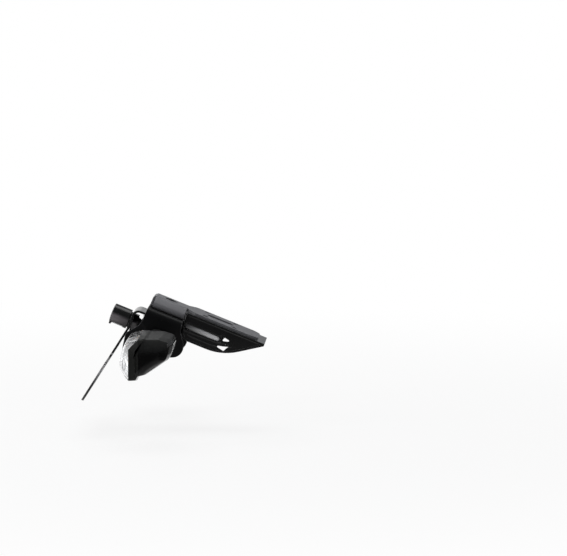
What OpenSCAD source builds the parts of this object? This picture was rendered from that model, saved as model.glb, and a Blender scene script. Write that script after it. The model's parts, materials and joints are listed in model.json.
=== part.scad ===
// Tail tidy for a motorcycle: folded brackets, plate hanger, plate lamp, two indicators and a tray.
// Millimetres. +X is forward, +Y is the machine's left and +Z is up.
// The origin is the centre of the four subframe holes, on the upper face of the mount bracket.

/* [Mount bracket] */
// Slope of the brackets below level, falling to the front
tail_tilt = 22; // [16:1:28]
// Spacing of the four subframe holes, the same both ways
mount_pitch = 32; // [28:1:34]
// Bore of a subframe hole
mount_bore = 6.6; // [5.4:0.2:8.6]
// Bore in the tray that lets a socket reach a subframe bolt
access_bore = 14; // [11:1:16]
// Sheet thickness of the mount bracket
mount_t = 2.5; // [2:0.25:3]
// Inner bend radius of the mount bracket
mount_bend_r = 1.5; // [1:0.25:2.5]
// Reach of the mount bracket's tongue ahead of the origin
tongue_l = 44; // [38:1:60]
// Distance from a subframe hole's middle to the tongue's side
tongue_edge = 8; // [7.5:0.25:10]
// Length of the riser from its rear wall to the front of its sides
riser_l = 38; // [34:1:42]
// Width across the bends at the top of the riser
riser_top_w = 30; // [28:0.5:36]
// Width across the bends at the foot of the riser
riser_foot_w = 52; // [50:0.5:54]
// Height of the mount face above the saddle bracket
riser_h = 12.5; // [12.5:0.5:20]
// Distance from a bracket bolt's middle to the inner edge of the riser's flange
bolt_edge = 4.4; // [4:0.1:5]
// Wiring bore through the top of the riser
wiring_bore = 14; // [10:1:18]
// Length of the lightening slot in the tongue
tongue_slot_l = 30; // [16:1:40]
// Width of the lightening slot in the tongue
tongue_slot_w = 12; // [8:1:16]

/* [Saddle bracket] */
// Distance of the saddle bracket's middle behind the origin
saddle_back = 56; // [54:1:64]
// Sheet thickness of the saddle bracket
saddle_t = 3; // [2:0.25:4]
// Inner bend radius of the saddle bracket
saddle_bend_r = 3.5; // [2:0.5:5]
// Width over the two cheeks
saddle_w = 64; // [63:1:76]
// Length of the saddle bracket's top
saddle_l = 39; // [38:1:46]
// How far the rear wing of a cheek flares behind the top
wing_rear = 12; // [8:0.5:16]
// How far the front corner of a cheek flares ahead of the top
wing_front = 17.5; // [12:0.5:20]
// Depth at which the cheek starts to flare at the rear
waist_rear = 20; // [16:0.5:24]
// Depth at which the cheek starts to flare at the front
waist_front = 10.4; // [8:0.5:14]
// Depth of the rear lower corner below the top
cheek_drop = 60; // [54:0.5:70]
// Radius of the front lower corner
cheek_corner_r = 11.5; // [8:0.5:13]

/* [Plate hanger] */
// Sheet thickness of the plate hanger
hanger_t = 2.4; // [1.8:0.2:3]
// Inner bend radius at the hanger's top
hanger_bend_r = 4.8; // [3:0.2:5]
// Width of the hanger's flange, upright and arm
hanger_w = 38; // [35:1:42]
// Distance of the upright's mid-sheet behind the saddle's middle
hanger_back = 31.4; // [30:0.2:36]
// Depth of the arm's bend below the saddle's top
arm_z = 32; // [31:0.5:40]
// Further lean of the arm below its bend
arm_kick = 10.4; // [6:0.2:16]
// Length of the arm from its bend to the panel
arm_l = 32; // [24:1:50]
// Height of the spacers between the saddle and the hanger
spacer_h = 5; // [4:0.2:8]
// Outer diameter of a spacer
spacer_d = 10; // [9:0.5:10.5]
// Width of the number plate's panel
panel_w = 170; // [140:2:200]
// Height of the panel along the arm
panel_h = 48; // [40:1:80]
// Corner radius of the panel
panel_r = 8; // [3:1:12]
// Radius between the arm and the panel
shoulder_r = 12; // [6:1:16]
// Spacing of the two number plate holes
plate_pitch = 100; // [80:5:130]
// Bore of a number plate hole
plate_bore = 5.5; // [4.2:0.1:6.5]

/* [Plate lamp] */
// Outer diameter of the lamp
lamp_d = 21; // [19:0.2:24]
// Length of the lamp's barrel
lamp_l = 20; // [16:0.2:24]
// Crown of the lamp's closed end
lamp_crown = 1.4; // [0.8:0.2:2.4]
// Wall of the lamp's barrel
lamp_wall = 1.8; // [1.4:0.1:2.4]
// Depth of the lamp's axis below the saddle's top
lamp_z = 23.4; // [22:0.2:24]
// Thickness of the lamp's rubber gasket
lamp_gasket_t = 1.5; // [1:0.25:2.5]
// Diameter of the lamp's threaded spigot
spigot_d = 12; // [10:0.5:13]
// Cable bore of the lamp's spigot
spigot_bore = 7; // [5:0.5:8]
// Width across flats of the lamp's nut
lamp_nut_af = 16; // [15:0.5:17]
// Thickness of the lamp's nut
lamp_nut_h = 5; // [3.5:0.5:6]

/* [Indicators] */
// Length of the rubber stalk on the cheek
stalk_l = 26; // [20:1:34]
// Length of the housing's neck from the stalk to its body
neck_l = 27; // [20:1:34]
// Length of the housing's body along the stalk's axis
pod_l = 80; // [70:1:100]
// Distance of the lens seam behind the stalk's axis
pod_rear = 19.5; // [18:0.5:24]
// Reach of the nose ahead of the stalk's axis
pod_nose = 26.6; // [25:0.2:32]
// Height of the housing above the stalk's axis
pod_top = 20.6; // [18:0.2:25]
// Depth of the housing below the stalk's axis
pod_foot = 26.2; // [24:0.2:31]
// Width of the raised rim round the lens
rim_w = 7.8; // [5:0.1:9]
// Step from the rim down to the body
rim_step = 3.5; // [2:0.25:5]
// How far the rim stands proud of the body's sides
rim_proud = 0.8; // [0.5:0.1:1.5]
// Height of the slanted upper stretch of the lens seam
seam_slant = 11; // [8:0.5:13]
// Bulge of the lens behind its seam
lens_bulge = 9.6; // [6:0.2:10]
// Wall of the housing
pod_wall = 2.4; // [1.8:0.2:3]
// Wall of the lens
lens_wall = 2; // [1.6:0.2:2.6]
// Wall of the reflector
reflector_wall = 1.2; // [1:0.1:1.6]
// Distance from the body's nose to the back of the reflector's outline
reflector_back = 24; // [23:0.5:26]
// Diameter of the bulb's glass
bulb_d = 15; // [13:0.5:17]
// Radius of the bulb's neck
bulb_neck = 5; // [4:0.25:5.5]
// Diameter of the bulb's holder
holder_d = 14; // [13:0.5:17]
// Width of the neck and the stalk
neck_w = 24; // [20:0.5:28]
// Height of the neck and the stalk
neck_h = 15; // [13:0.5:18]
// Diameter of the threaded stud in the stalk
stud_d = 10; // [8:0.5:12]
// Cable bore of the stud
stud_bore = 5; // [3:0.5:6]
// Outer diameter of the stalk's foot on the cheek
stalk_foot_d = 27; // [22:1:30]
// Width across flats of the indicator's nut
stud_nut_af = 17; // [14:0.5:19]
// Thickness of the indicator's nut
stud_nut_h = 6; // [4:0.5:8]
// Outer diameter of the indicator's washer
stud_washer_d = 24; // [20:1:26]
// Thickness of the indicator's washer
stud_washer_t = 1.6; // [1:0.2:2.4]

/* [Tray] */
// Wall of the tray
tray_wall = 2.5; // [2:0.25:3]
// Distance from the tongue's side to the inner face of a skirt
tray_side_gap = 0.5; // [0.25:0.25:1.5]
// Gap between the saddle's front edge and the tray
tray_gap = 1.6; // [1.2:0.1:4]
// Depth of the skirts below the mount face
skirt_drop = 30.7; // [28:0.1:38]
// Where the skirts' lower edge turns up, ahead of the origin
skirt_turn = 15; // [10:1:22]
// Slope at which the skirts' lower edge rises to the front
skirt_rise = 34.5; // [30:0.5:42]
// Radius of the skirts' long lower curve
skirt_sweep_r = 58; // [30:1:62]
// Width of the bead round the skirts' edge
bead_w = 2.4; // [1.6:0.2:3.2]
// Height of the bead and of the ridge proud of the skirt
bead_h = 1.6; // [1:0.2:2.4]
// Height of the slot for the insert
insert_h = 5.6; // [4.6:0.2:7]
// Length of the insert
insert_l = 40; // [32:1:42]

/* [Fasteners] */
// Shank diameter of the bolts and screws
bolt_d = 5; // [4:0.5:6]
// Diameter of a button head
head_d = 9.2; // [8:0.2:9.4]
// Height of a button head
head_h = 2.6; // [2:0.2:3.4]
// Width across flats of a nut
nut_af = 8; // [7:0.5:9]
// Height of a nut
nut_h = 4; // [3:0.5:5]
// Width across flats of a head's hexagon socket
socket_af = 3; // [2.5:0.5:4]
// Clearance of a bolt in its hole, on diameter
bolt_gap = 0.5; // [0.3:0.1:1]
// Clearance between moulded parts that nest
fit = 0.2; // [0.1:0.05:0.4]

/* [Hidden] */

eps = 0.5;
bend_steps = 6;
corner_steps = 7;
bolt_bore = bolt_d + bolt_gap;
thread_gap = 0.1;
slice_t = 0.2;

// The bolts that clamp the riser, the saddle and the hanger, from the saddle's middle
bracket_bolt_x = 9.5;
riser_lean = atan2((riser_foot_w - riser_top_w) / 2, riser_h - mount_t);
// Gap between a bracket nut's top edge and the riser's leaning side
nut_room = 0.6;
bracket_bolt_y = (riser_foot_w - mount_t - nut_af) / 2 - tan(riser_lean) * (mount_t / 2 + nut_h)
    - mount_t / 2 / cos(riser_lean) - nut_room;
tongue_w = mount_pitch + 2 * tongue_edge;
grommet_bore = 9;

// The hanger's sheet, in the saddle's frame
flange_z = -saddle_t - spacer_h - hanger_t / 2;
flange_front = bracket_bolt_x + 6;
upright_x = -hanger_back;

// The stalk's axis on the cheek, in the saddle's frame
stalk_x = 2.3;
stalk_z = -30.6;

// The tray, in the tilted frame of the mount face
tray_w = tongue_w + 2 * (tray_side_gap + tray_wall);
tray_rear = -saddle_back + saddle_l / 2 + tray_gap;
tray_screw_x = [-mount_pitch / 2 - 12, tongue_l - 8];
tray_screw_y = tongue_w / 2 - 7;
deck_z = -mount_t;

function unit(v) = v / norm(v);
function turned(v, a) = [v.x * cos(a) - v.y * sin(a), v.x * sin(a) + v.y * cos(a)];
function heading(v) = atan2(v.y, v.x);
function wrapped(a) = a > 180 ? a - 360 : a < -180 ? a + 360 : a;
function flipped(p) = [for (i = [len(p) - 1 : -1 : 0]) p[i]];

// One face of a sheet folded along the path p: side is 1 for its left face and -1 for its right
function fold_face(p, r, t, side) = [
    p[0] + turned(unit(p[1] - p[0]), 90) * side * t / 2,
    for (i = [1 : len(p) - 2])
        let (
            d = unit(p[i] - p[i - 1]),
            a = wrapped(heading(p[i + 1] - p[i]) - heading(d)),
            mid_r = r + t / 2,
            way = sign(a),
            c = p[i] - d * mid_r * tan(abs(a) / 2) + turned(d, 90) * way * mid_r
        )
        for (k = [0 : bend_steps])
            c - turned(d, 90 + a * k / bend_steps) * (way * mid_r - side * t / 2),
    p[len(p) - 1] + turned(unit(p[len(p) - 1] - p[len(p) - 2]), 90) * side * t / 2
];

// Outline of a sheet of thickness t folded at inner radius r along its middle line p
function fold(p, r, t) = concat(fold_face(p, r, t, 1), flipped(fold_face(p, r, t, -1)));

// Closed outline through the corners p, each rounded by its own radius in r
function rounded(p, r) = [
    for (i = [0 : len(p) - 1])
        let (
            a = unit(p[(i + len(p) - 1) % len(p)] - p[i]),
            b = unit(p[(i + 1) % len(p)] - p[i]),
            half = acos(a * b) / 2,
            c = p[i] + unit(a + b) * r[i] / sin(half),
            start = p[i] + a * r[i] / tan(half) - c,
            sweep = wrapped(heading(p[i] + b * r[i] / tan(half) - c) - heading(start))
        )
        each r[i] == 0 ? [p[i]] : [for (k = [0 : corner_steps]) c + turned(start, sweep * k / corner_steps)]
];

// Places: the tilted mount face, the saddle's top and the lamp's seat
module in_tail() {
    rotate([0, tail_tilt, 0]) children();
}
module on_saddle() {
    in_tail() translate([-saddle_back, 0, -riser_h]) children();
}
module at_lamp() {
    on_saddle() translate([upright_x - hanger_t / 2, 0, -lamp_z]) rotate([0, -90, 0]) children();
}
// The stalk's root on the cheek's outer face: x forward, y outboard, z up
module at_stalk(side) {
    on_saddle() translate([stalk_x, side * saddle_w / 2, stalk_z]) rotate([0, -tail_tilt, 0])
        mirror([0, (1 - side) / 2, 0]) children();
}

// An outline drawn in X and Z, carried along Y
module across(w) {
    rotate([90, 0, 0]) linear_extrude(w, center = true) children();
}
// An outline drawn in Y and Z, carried along X from x0 to x1
module along(x0, x1) {
    translate([x0, 0, 0]) rotate([90, 0, 90]) linear_extrude(x1 - x0) children();
}
module tube(d, bore, h) {
    difference() {
        cylinder(d = d, h = h, $fn = 48);
        translate([0, 0, -eps]) cylinder(d = bore, h = h + 2 * eps, $fn = 48);
    }
}
module hexagon(af, h) {
    cylinder(d = af / cos(30), h = h, $fn = 6);
}
module slot(l, w, h) {
    for (s = [-1, 1]) translate([s * (l - w) / 2, 0, 0]) cylinder(d = w, h = h, $fn = 40);
    translate([-(l - w) / 2, -w / 2, 0]) cube([l - w, w, h]);
}
// Button head bolt: the head stands on z = 0 and the shank hangs below it
module bolt(l) {
    difference() {
        union() {
            cylinder(d1 = head_d, d2 = head_d * 0.62, h = head_h, $fn = 40);
            translate([0, 0, -l]) cylinder(d = bolt_d, h = l + eps, $fn = 40);
        }
        translate([0, 0, head_h - 1.6]) hexagon(socket_af, 1.6 + eps);
    }
}
// Flanged nut with its seat on z = 0
module nut() {
    difference() {
        union() {
            hexagon(nut_af, nut_h);
            cylinder(d = nut_af + 2, h = 1, $fn = 40);
        }
        translate([0, 0, -eps]) cylinder(d = bolt_d + thread_gap, h = nut_h + 2 * eps, $fn = 40);
    }
}
module four(x, y) {
    for (sx = [-1, 1], sy = [-1, 1]) translate([sx * x, sy * y, 0]) children();
}
module bore(d, depth) {
    translate([0, 0, -depth / 2]) cylinder(d = d, h = depth, $fn = 48);
}

// Folded mount bracket: a tongue under the tail, and behind it a riser whose sides lean inwards
module mount_bracket() {
    rear = -saddle_back - riser_l / 2;
    front = rear + riser_l;
    foot = riser_foot_w / 2 - mount_t / 2;
    foot_in = bracket_bolt_y - bolt_edge;
    foot_z = -riser_h + mount_t / 2;
    top = riser_top_w / 2 - mount_t / 2;
    top_z = -mount_t / 2;
    flat_w = riser_top_w - 2 * mount_t - 2 * mount_bend_r;
    color([0.16, 0.16, 0.17]) in_tail() difference() {
        union() {
            intersection() {
                across(tongue_w + riser_foot_w) polygon(fold([[tongue_l, top_z], [rear + mount_t / 2, top_z],
                    [rear + mount_t / 2, -riser_h + 1]], mount_bend_r, mount_t));
                translate([0, 0, -riser_h]) linear_extrude(riser_h + eps) polygon(rounded([
                    [rear - eps, -flat_w / 2], [front - 1, -flat_w / 2], [front + 9, -tongue_w / 2],
                    [tongue_l, -tongue_w / 2], [tongue_l, tongue_w / 2], [front + 9, tongue_w / 2],
                    [front - 1, flat_w / 2], [rear - eps, flat_w / 2]], [0, 3, 5, 10, 10, 5, 3, 0]));
            }
            along(rear + mount_t + eps, front) polygon(fold([[-foot_in, foot_z], [-foot, foot_z], [-top, top_z],
                [top, top_z], [foot, foot_z], [foot_in, foot_z]], mount_bend_r, mount_t));
        }
        four(mount_pitch / 2, mount_pitch / 2) bore(mount_bore, 4 * mount_t);
        translate([-saddle_back, 0, 0]) bore(wiring_bore, 3 * mount_t);
        translate([0, 0, -2 * mount_t]) slot(tongue_slot_l, tongue_slot_w, 4 * mount_t);
        for (x = tray_screw_x, s = [-1, 1])
            translate([x, s * tray_screw_y, 0]) bore(bolt_d + thread_gap, 4 * mount_t);
        translate([-saddle_back, 0, -riser_h]) four(bracket_bolt_x, bracket_bolt_y) bore(bolt_bore, 3 * mount_t);
    }
}

// Outline of a cheek, from its rear top corner round to its front top corner
function cheek() = let (h = saddle_l / 2, low = cheek_drop, near = low - (h + wing_rear) * 0.82)
    rounded([[-h, eps], [-h - 1, -waist_rear], [-h - wing_rear, -waist_rear - wing_rear * 1.17],
        [-h - wing_rear + 4.6, -low], [h + wing_front, -near], [h + 2, -waist_front], [h, eps]],
        [0, 10, 8, 10, cheek_corner_r, 8, 0]);

// Folded saddle bracket: the flat top carries the riser and each cheek carries an indicator
module saddle_bracket() {
    half = (saddle_w - saddle_t) / 2;
    color([0.05, 0.05, 0.055]) on_saddle() difference() {
        intersection() {
            along(-saddle_l, saddle_l) polygon(fold([[-half, -cheek_drop - eps], [-half, -saddle_t / 2],
                [half, -saddle_t / 2], [half, -cheek_drop - eps]], saddle_bend_r, saddle_t));
            across(saddle_w + 2 * eps) polygon(cheek());
        }
        four(bracket_bolt_x, bracket_bolt_y) bore(bolt_bore, 4 * saddle_t);
        for (s = [-1, 1])
            translate([stalk_x, s * saddle_w / 2, stalk_z]) rotate([90, 0, 0])
                bore(stud_d + bolt_gap, 4 * saddle_t);
        bore(grommet_bore, 4 * saddle_t);
    }
}

// Bolts from below through the hanger, the spacers, the saddle and the riser's flanges
module bracket_bolts() {
    color([0.35, 0.35, 0.37]) on_saddle() four(bracket_bolt_x, bracket_bolt_y)
        translate([0, 0, flange_z - hanger_t / 2]) mirror([0, 0, 1])
            bolt(hanger_t + spacer_h + saddle_t + mount_t + nut_h + 1);
}
module bracket_nuts() {
    color([0.55, 0.55, 0.57]) on_saddle() four(bracket_bolt_x, bracket_bolt_y) translate([0, 0, mount_t]) nut();
}
module bracket_spacers() {
    color([0.6, 0.6, 0.62]) on_saddle() four(bracket_bolt_x, bracket_bolt_y)
        translate([0, 0, -saddle_t - spacer_h]) tube(spacer_d, bolt_bore, spacer_h);
}

// Rubber grommet that lines the wiring hole in the saddle's top
module wiring_grommet() {
    lip = 1.6;
    waist = grommet_bore - fit;
    color([0.1, 0.1, 0.1]) on_saddle() rotate_extrude($fn = 48)
        polygon([[waist / 2 - 1.8, -saddle_t - fit - lip], [waist / 2 + 1.2, -saddle_t - fit - lip],
            [waist / 2 + 1.8, -saddle_t - fit], [waist / 2, -saddle_t - fit], [waist / 2, fit],
            [waist / 2 + 1.8, fit], [waist / 2 + 1.2, lip + fit], [waist / 2 - 1.8, lip + fit]]);
}

// Folded plate hanger: a flange under the saddle, an upright for the lamp, a leaning arm and a panel
module plate_hanger() {
    foot_z = -arm_z - (arm_l + panel_h) * cos(arm_kick);
    panel_z = -arm_z - arm_l * cos(arm_kick);
    color([0.05, 0.05, 0.055]) on_saddle() difference() {
        intersection() {
            across(panel_w) polygon(fold([[flange_front, flange_z], [upright_x, flange_z], [upright_x, -arm_z],
                [upright_x - (arm_l + panel_h) * sin(arm_kick), foot_z]], hanger_bend_r, hanger_t));
            along(-3 * saddle_l, saddle_l) polygon(rounded([[-hanger_w / 2, 0], [-hanger_w / 2, panel_z],
                [-panel_w / 2, panel_z], [-panel_w / 2, foot_z + eps], [panel_w / 2, foot_z + eps],
                [panel_w / 2, panel_z], [hanger_w / 2, panel_z], [hanger_w / 2, 0]],
                [0, shoulder_r, panel_r, panel_r, panel_r, panel_r, shoulder_r, 0]));
        }
        translate([0, 0, flange_z]) four(bracket_bolt_x, bracket_bolt_y) bore(bolt_bore, 4 * hanger_t);
        translate([0, 0, flange_z]) bore(grommet_bore + 4, 4 * hanger_t);
        translate([upright_x, 0, -lamp_z]) rotate([0, 90, 0]) bore(spigot_d + bolt_gap, 4 * hanger_t);
        translate([upright_x, 0, -arm_z]) rotate([0, arm_kick, 0]) for (s = [-1, 1])
            translate([0, s * plate_pitch / 2, -arm_l - panel_h / 2]) rotate([0, 90, 0])
                bore(plate_bore, 4 * hanger_t);
    }
}

// Plate lamp. In its frame z runs rearwards from the hanger and x is up.
lamp_r = lamp_d / 2;
lamp_room_r = lamp_r - lamp_wall;
lamp_end = lamp_gasket_t + lamp_l;
window_margin = 4;
window_z = lamp_gasket_t + window_margin;
window_l = lamp_l - 2 * window_margin;
window_x = -lamp_r * 0.84;
spigot_l = hanger_t + lamp_nut_h + 1;
led_w = 2.8;
led_pitch = 4.2;
board_x = -2;
// The block that cuts the window, grown by g on each side
module window_cut(g) {
    translate([-lamp_r - eps, -lamp_r, window_z - g])
        cube([lamp_r + eps + window_x + g, lamp_d, window_l + 2 * g]);
}
module lamp_housing() {
    crown_z = lamp_end - lamp_crown;
    color([0.04, 0.04, 0.045]) at_lamp() difference() {
        union() {
            rotate_extrude($fn = 72) polygon(concat([[0, lamp_gasket_t], [lamp_r, lamp_gasket_t]],
                [for (k = [0 : 8]) [lamp_r * cos(90 * k / 8), crown_z + lamp_crown * sin(90 * k / 8)]]));
            translate([0, 0, -spigot_l]) cylinder(d = spigot_d, h = spigot_l + lamp_gasket_t + eps, $fn = 48);
            translate([-lamp_r - 0.8, -lamp_r / 2, crown_z - 2]) cube([2.4, lamp_r, 2]);
        }
        translate([0, 0, lamp_gasket_t + lamp_wall])
            cylinder(r = lamp_room_r, h = crown_z - lamp_gasket_t - 2 * lamp_wall, $fn = 72);
        translate([0, 0, -spigot_l - eps])
            cylinder(d = spigot_bore, h = spigot_l + lamp_gasket_t + lamp_wall + 2 * eps, $fn = 48);
        window_cut(0);
    }
}
module lamp_window() {
    color([0.9, 0.9, 0.88, 0.6]) at_lamp() intersection() {
        translate([0, 0, window_z]) tube(lamp_d - 0.6, 2 * lamp_room_r, window_l);
        window_cut(-fit);
    }
}
// The board lies across the room, with its edges on the wall
module lamp_board() {
    half = sqrt(lamp_room_r * lamp_room_r - board_x * board_x);
    color([0.1, 0.35, 0.2]) at_lamp() translate([board_x, -half, window_z]) cube([1.2, 2 * half, window_l]);
}
module lamp_leds() {
    color([0.95, 0.9, 0.6]) at_lamp() for (k = [-1, 0, 1])
        translate([board_x - 1, k * led_pitch - led_w / 2, window_z + (window_l - led_w) / 2])
            cube([1, led_w, led_w]);
}
module lamp_gasket() {
    color([0.1, 0.1, 0.1]) at_lamp() tube(lamp_d - 4, spigot_d + fit, lamp_gasket_t);
}
module lamp_nut() {
    color([0.08, 0.08, 0.08]) at_lamp() translate([0, 0, -hanger_t - lamp_nut_h]) difference() {
        rotate([0, 0, 30]) hexagon(lamp_nut_af, lamp_nut_h);
        translate([0, 0, -eps]) cylinder(d = spigot_d + thread_gap, h = lamp_nut_h + 2 * eps, $fn = 48);
    }
}
// Rubber gland where the lamp's lead leaves its spigot
module lamp_gland() {
    r = spigot_bore / 2 - fit / 2;
    color([0.1, 0.1, 0.1]) at_lamp() translate([0, 0, -spigot_l]) rotate_extrude($fn = 48)
        polygon([[1.6, 5], [r, 5], [r, 0], [spigot_d / 2 - 0.6, 0], [spigot_d / 2 - 0.6, -1.4],
            [3.2, -3.6], [1.6, -3.6]]);
}

// Outline of a skirt of the tray in X and Z, from its rear top corner round under to the front
function skirt_front() = skirt_turn + (skirt_drop - mount_t - tray_wall) / tan(skirt_rise);
function skirt() = rounded([[tray_rear, deck_z], [tray_rear, -skirt_drop], [skirt_turn, -skirt_drop],
    [skirt_front(), deck_z - tray_wall], [skirt_front(), deck_z]], [0, 11, skirt_sweep_r, 0, 0]);
insert_mid = [tray_rear + 21.8, -skirt_drop + 14.6];
insert_lean = 1.5;
// The insert's slot, grown by g all round, carried outwards for h
module insert_slot(g, h) {
    translate([insert_mid.x, 0, insert_mid.y]) rotate([90, -insert_lean, 0])
        slot(insert_l + 2 * g, insert_h + 2 * g, h);
}
// One skirt with its bead, its ridge, the rim of the insert and two windows; y = 0 is its inner face
module right_skirt() {
    difference() {
        union() {
            rotate([90, 0, 0]) linear_extrude(tray_wall) polygon(skirt());
            rotate([90, 0, 0]) linear_extrude(tray_wall + bead_h) difference() {
                polygon(skirt());
                offset(delta = -bead_w) polygon(skirt());
            }
            rotate([90, 0, 0]) linear_extrude(tray_wall + bead_h * 0.6) difference() {
                offset(delta = -2 * bead_w - 1) polygon(skirt());
                offset(delta = -3 * bead_w) polygon(skirt());
                translate([tray_rear, -skirt_drop + 12]) square([skirt_front() - tray_rear, skirt_drop]);
            }
            insert_slot(2, tray_wall + bead_h * 0.8);
        }
        translate([0, eps, 0]) insert_slot(0, tray_wall + bead_h + 2 * eps);
        rotate([90, 0, 0]) translate([0, 0, -eps]) linear_extrude(tray_wall + bead_h + 2 * eps) {
            translate([skirt_turn, -skirt_drop])
                polygon(rounded([[-5.5, 13.8], [-4, 18.4], [5, 16.9]], [1, 1, 1]));
            translate([skirt_turn, -skirt_drop])
                polygon(rounded([[-8.4, 6.2], [-6, 11.5], [3.8, 12.4], [-0.2, 4.6]], [1, 1, 1, 1]));
        }
    }
}
// Moulded tray: a deck under the tongue with a skirt down each side
module under_tail_tray() {
    wall_y = tray_w / 2 - tray_wall;
    color([0.03, 0.03, 0.03]) in_tail() difference() {
        union() {
            translate([tray_rear, -tray_w / 2, deck_z - tray_wall])
                cube([skirt_front() - tray_rear, tray_w, tray_wall]);
            translate([0, -wall_y, 0]) right_skirt();
            mirror([0, 1, 0]) translate([0, -wall_y, 0]) right_skirt();
        }
        four(mount_pitch / 2, mount_pitch / 2) translate([0, 0, deck_z]) bore(access_bore, 4 * tray_wall);
        for (x = tray_screw_x, s = [-1, 1])
            translate([x, s * tray_screw_y, deck_z]) bore(bolt_bore, 4 * tray_wall);
    }
}
// Light insert in the slot of a skirt, with a flange inside the skirt
module tray_insert() {
    color([0.75, 0.75, 0.74]) in_tail() translate([0, -tray_w / 2 + tray_wall, 0]) union() {
        insert_slot(-fit, tray_wall);
        translate([0, 1.2, 0]) insert_slot(1.6, 1.2);
    }
}
module tray_insert_right() {
    tray_insert();
}
module tray_insert_left() {
    mirror([0, 1, 0]) tray_insert();
}
module tray_screws() {
    color([0.35, 0.35, 0.37]) in_tail() for (x = tray_screw_x, s = [-1, 1])
        translate([x, s * tray_screw_y, deck_z - tray_wall]) mirror([0, 0, 1]) bolt(tray_wall + mount_t);
}

// Indicator outlines in X and Z about the stalk's axis. The lens seam runs down its rear side,
// upright at first from seam_low to seam_mid and then slanted forward to seam_top.
seam_low = [-pod_rear, -pod_foot];
seam_mid = [-pod_rear, pod_top - seam_slant];
seam_top = [-pod_rear + seam_slant, pod_top];
seam_line = [seam_top, seam_mid, seam_low];
body_low = -pod_foot + rim_step;
body_outline = concat([[-pod_rear, body_low], [-pod_rear + rim_w + 2, body_low + 0.4],
    [-pod_rear + rim_w + 9, body_low + 2.4], [pod_nose - 16, -pod_foot * 0.44], [pod_nose - 5, -4],
    [pod_nose - 2, 3], [pod_nose, pod_top - 8.5], [pod_nose - 2, pod_top - 3.5], [pod_nose - 13, pod_top]],
    [seam_top, seam_mid]);
rim_outline = concat([[-pod_rear + rim_w, -pod_foot + 0.4], [-pod_rear + rim_w + 2, -pod_foot + rim_step + 0.8],
    [seam_top.x + rim_w * 0.8, pod_top]], seam_line);
lens_outline = concat([[-pod_rear - lens_bulge * 0.5, -pod_foot + 6], [-pod_rear - lens_bulge, -pod_foot + 15],
    [-pod_rear - lens_bulge, -pod_foot + 23], [-pod_rear - lens_bulge * 0.72, seam_mid.y - 2],
    [seam_mid.x - lens_bulge * 0.2, seam_mid.y + seam_slant * 0.72]], seam_line);
seam_side_outline = concat(seam_line, [[seam_low.x, -2 * pod_foot], [3 * pod_nose, -2 * pod_foot],
    [3 * pod_nose, 3 * pod_top], [seam_top.x + 2 * pod_top, 3 * pod_top]]);
reflector_x = pod_nose - reflector_back;
reflector_outline = [[-pod_rear, -pod_foot + rim_step + 1], [reflector_x, -9], [reflector_x + 2, pod_top - 6],
    [seam_top.x + 2, pod_top - 1], seam_mid];

// Length of the reflector's posts, and how far the stud goes into the housing
post_l = reflector_back - 1.7;
stud_reach = 11;

// The outline keeps its full size from full_from to full_to along the body, and tapers towards both
// ends. It tapers towards the lens seam's plane, so that the seam stays flat.
pod_in = stalk_l + neck_l;
full_from = 14;
full_to = pod_l - 20;
in_share = 0.72;
out_share = 0.9;
function share(y) = y < full_from ? 1 - (1 - in_share) * (full_from - y) / full_from :
    y > full_to ? 1 - (1 - out_share) * (y - full_to) / (pod_l - full_to) : 1;
function tapered(outline, y) = [for (p = outline)
    [-pod_rear + (p.x + pod_rear) * share(y), p.y * share(y)]];

// A faceted form through the outline from y0 to y1 along the body, drawn in by g and shifted by dx
module pod_form(outline, y0, y1, g, dx) {
    for (y = [y0, full_from, full_to, y1])
        translate([dx, pod_in + y + slice_t / 2, 0]) rotate([90, 0, 0]) linear_extrude(slice_t)
            offset(delta = -g) polygon(tapered(outline, y));
}
// The housing is open towards the lens, and two posts from its nose carry the reflector
module indicator_housing(side) {
    inset = pod_wall + rim_proud;
    neck_x = (neck_w - neck_h) / 2;
    color([0.05, 0.05, 0.05]) at_stalk(side) {
        difference() {
            union() {
                hull() pod_form(body_outline, 0, pod_l, rim_proud, 0);
                hull() pod_form(rim_outline, 0, pod_l, 0, 0);
                hull() for (s = [-1, 1]) {
                    translate([s * neck_x, stalk_l, 0]) rotate([-90, 0, 0])
                        cylinder(d = neck_h, h = 1, $fn = 32);
                    translate([s * neck_x, pod_in + 4, 0]) rotate([-90, 0, 0])
                        cylinder(d = neck_h + 4, h = 1, $fn = 32);
                }
            }
            hull() for (dx = [0, -pod_wall - 3])
                pod_form(body_outline, pod_wall, pod_l - pod_wall, inset, dx);
            translate([0, stalk_l - eps, 0]) rotate([-90, 0, 0])
                cylinder(d = stud_d + fit, h = stud_reach + 2 * eps, $fn = 48);
            translate([0, stalk_l, 0]) rotate([-90, 0, 0])
                cylinder(d = stud_bore, h = neck_l + 2 * pod_wall, $fn = 48);
        }
        for (y = [full_from + 5, full_to - 7])
            translate([pod_nose - inset - post_l, pod_in + y, 7]) rotate([0, 90, 0])
                cylinder(d = 7, h = post_l, $fn = 40);
    }
}
module indicator_lens(side) {
    color([0.93, 0.93, 0.93, 0.5]) at_stalk(side) difference() {
        hull() pod_form(lens_outline, 0, pod_l, 0, 0);
        hull() pod_form(lens_outline, lens_wall, pod_l - lens_wall, lens_wall, 0);
        hull() pod_form(seam_side_outline, -2, pod_l + 2, 0, 0);
    }
}
// Reflector bowl behind the lens, round the bulb
module indicator_reflector(side) {
    inset = pod_wall + rim_proud + fit;
    bowl = inset + reflector_wall;
    color([0.8, 0.8, 0.82]) at_stalk(side) difference() {
        hull() pod_form(reflector_outline, inset, pod_l - inset, inset, 0);
        hull() for (dx = [0, -12])
            pod_form(reflector_outline, bowl, pod_l - bowl, bowl, dx);
        at_bulb() cylinder(d = holder_d + fit, h = 2 * reflector_back, center = true, $fn = 48);
    }
}
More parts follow.
